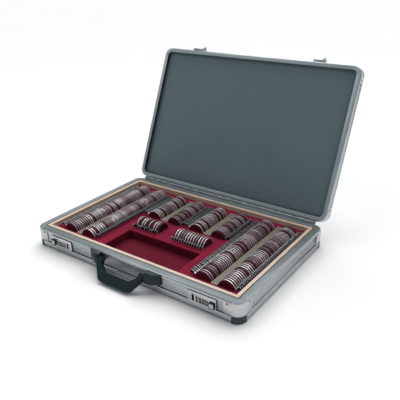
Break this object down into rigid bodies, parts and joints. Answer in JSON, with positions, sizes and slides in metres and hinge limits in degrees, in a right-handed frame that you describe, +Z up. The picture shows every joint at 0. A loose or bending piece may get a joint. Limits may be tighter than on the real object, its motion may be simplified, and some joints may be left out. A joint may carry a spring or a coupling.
{
  "type": "trial lens set",
  "caption": "Aluminium attache case of rimmed optician's trial lenses standing in red flocked racks, with a padded hinged lid, combination locks and a folding handle.",
  "frame": {"origin": "on the table plane that the four corner feet stand on, under the centre of the base case", "axes": "+X to the right along the front of the case, +Y from the handle's side back to the hinge, +Z up out of the base"},
  "size_m": [0.5326, 0.5656, 0.3682],
  "materials": {
    "frame_aluminium": "satin anodised extrusion with a fine ribbed band",
    "corner_aluminium": "polished pressed sheet",
    "panel_aluminium": "stippled sheet",
    "black_plastic": "moulded, satin",
    "handle_plastic": "moulded, fine grain",
    "wood": "clear-coated pale plywood",
    "flock": "crimson flock over a moulded plastic tray",
    "flock_rack": "crimson flock over a moulded plastic rack",
    "label_card": "printed card strip",
    "hinge_steel": "plated strip",
    "rivet": "plated",
    "lining": "padded slate cloth",
    "lock_chrome": "bright plate",
    "lock_plate": "satin plate",
    "red_marker": "gloss",
    "dial_brass": "plated, numbered wheel",
    "lens_rim": "bright anodised rim with a handle",
    "lens_glass": "clear polished lens"
  },
  "bodies": {
    "base": {"base_rails": "frame_aluminium", "base_corners": "corner_aluminium", "corner_feet": "black_plastic", "base_panel": "panel_aluminium", "wood_liner": "wood", "lens_tray": "flock", "lens_racks": "flock_rack", "label_strips": "label_card", "hinge_leaf_base": "hinge_steel", "hinge_pin": "hinge_steel", "base_rivets": "rivet", "lock_case_left": "lock_plate", "lock_case_right": "lock_plate", "lock_axles": "rivet", "lock_markers": "red_marker", "handle_bracket_left": "black_plastic", "handle_bracket_right": "black_plastic", "handle_pins": "rivet"},
    "lid": {"lid_rails": "frame_aluminium", "lid_corners": "corner_aluminium", "lid_panel": "panel_aluminium", "lid_lining": "lining", "hinge_leaf_lid": "hinge_steel", "lid_rivets": "rivet", "hasp_plates": "lock_chrome"},
    "handle": {"handle": "handle_plastic"},
    "hasp_left": {"hasp_left": "lock_chrome"},
    "hasp_right": {"hasp_right": "lock_chrome"},
    "button_left": {"button_left": "black_plastic", "latch_bolt_left": "rivet"},
    "button_right": {"button_right": "black_plastic", "latch_bolt_right": "rivet"},
    "dial_left_1": {"dial_left_1": "dial_brass"},
    "dial_left_2": {"dial_left_2": "dial_brass"},
    "dial_left_3": {"dial_left_3": "dial_brass"},
    "dial_right_1": {"dial_right_1": "dial_brass"},
    "dial_right_2": {"dial_right_2": "dial_brass"},
    "dial_right_3": {"dial_right_3": "dial_brass"},
    "lenses_1": {"rims_1": "lens_rim", "glass_1": "lens_glass"},
    "lenses_2": {"rims_2": "lens_rim", "glass_2": "lens_glass"},
    "lenses_3": {"rims_3": "lens_rim", "glass_3": "lens_glass"},
    "lenses_4": {"rims_4": "lens_rim", "glass_4": "lens_glass"},
    "lenses_5": {"rims_5": "lens_rim", "glass_5": "lens_glass"},
    "lenses_6": {"rims_6": "lens_rim", "glass_6": "lens_glass"},
    "lenses_7": {"rims_7": "lens_rim", "glass_7": "lens_glass"},
    "lenses_8": {"rims_8": "lens_rim", "glass_8": "lens_glass"},
    "lenses_a": {"rims_a": "lens_rim", "glass_a": "lens_glass"},
    "lenses_b": {"rims_b": "lens_rim", "glass_b": "lens_glass"}
  },
  "joints": [
    {"name": "lid_hinge", "type": "hinge", "parent": "base", "child": "lid", "pos_m": [0, 0.1757, 0.046], "axis": [-1, 0, 0], "range_deg": [-113.7, 0]},
    {"name": "handle_fold", "type": "hinge", "parent": "base", "child": "handle", "pos_m": [0, -0.1835, 0.0338], "axis": [-1, 0, 0], "range_deg": [0, 140]},
    {"name": "hasp_left_hinge", "type": "hinge", "parent": "lid", "child": "hasp_left", "pos_m": [-0.1645, 0.32106, 0.36595], "axis": [-1, 0, 0], "range_deg": [-180, 0]},
    {"name": "button_left_slide", "type": "slide", "parent": "base", "child": "button_left", "axis": [-1, 0, 0], "range_m": [0, 0.0056], "stiffness_N_per_m": 150, "springref_m": -0.004},
    {"name": "dial_left_1_turn", "type": "hinge", "parent": "base", "child": "dial_left_1", "pos_m": [-0.1802, -0.168, 0.023], "axis": [1, 0, 0], "continuous": true},
    {"name": "dial_left_2_turn", "type": "hinge", "parent": "base", "child": "dial_left_2", "pos_m": [-0.1872, -0.168, 0.023], "axis": [1, 0, 0], "continuous": true},
    {"name": "dial_left_3_turn", "type": "hinge", "parent": "base", "child": "dial_left_3", "pos_m": [-0.1942, -0.168, 0.023], "axis": [1, 0, 0], "continuous": true},
    {"name": "hasp_right_hinge", "type": "hinge", "parent": "lid", "child": "hasp_right", "pos_m": [0.1645, 0.32106, 0.36595], "axis": [-1, 0, 0], "range_deg": [-180, 0]},
    {"name": "button_right_slide", "type": "slide", "parent": "base", "child": "button_right", "axis": [1, 0, 0], "range_m": [0, 0.0056], "stiffness_N_per_m": 150, "springref_m": -0.004},
    {"name": "dial_right_1_turn", "type": "hinge", "parent": "base", "child": "dial_right_1", "pos_m": [0.1802, -0.168, 0.023], "axis": [1, 0, 0], "continuous": true},
    {"name": "dial_right_2_turn", "type": "hinge", "parent": "base", "child": "dial_right_2", "pos_m": [0.1872, -0.168, 0.023], "axis": [1, 0, 0], "continuous": true},
    {"name": "dial_right_3_turn", "type": "hinge", "parent": "base", "child": "dial_right_3", "pos_m": [0.1942, -0.168, 0.023], "axis": [1, 0, 0], "continuous": true},
    {"name": "lenses_1_lift", "type": "slide", "parent": "base", "child": "lenses_1", "axis": [0, 0, 1], "range_m": [0, 0.045]},
    {"name": "lenses_2_lift", "type": "slide", "parent": "base", "child": "lenses_2", "axis": [0, 0, 1], "range_m": [0, 0.045]},
    {"name": "lenses_3_lift", "type": "slide", "parent": "base", "child": "lenses_3", "axis": [0, 0, 1], "range_m": [0, 0.045]},
    {"name": "lenses_4_lift", "type": "slide", "parent": "base", "child": "lenses_4", "axis": [0, 0, 1], "range_m": [0, 0.045]},
    {"name": "lenses_5_lift", "type": "slide", "parent": "base", "child": "lenses_5", "axis": [0, 0, 1], "range_m": [0, 0.045]},
    {"name": "lenses_6_lift", "type": "slide", "parent": "base", "child": "lenses_6", "axis": [0, 0, 1], "range_m": [0, 0.045]},
    {"name": "lenses_7_lift", "type": "slide", "parent": "base", "child": "lenses_7", "axis": [0, 0, 1], "range_m": [0, 0.045]},
    {"name": "lenses_8_lift", "type": "slide", "parent": "base", "child": "lenses_8", "axis": [0, 0, 1], "range_m": [0, 0.045]},
    {"name": "lenses_a_lift", "type": "slide", "parent": "base", "child": "lenses_a", "axis": [0, 0, 1], "range_m": [0, 0.045]},
    {"name": "lenses_b_lift", "type": "slide", "parent": "base", "child": "lenses_b", "axis": [0, 0, 1], "range_m": [0, 0.045]}
  ]
}
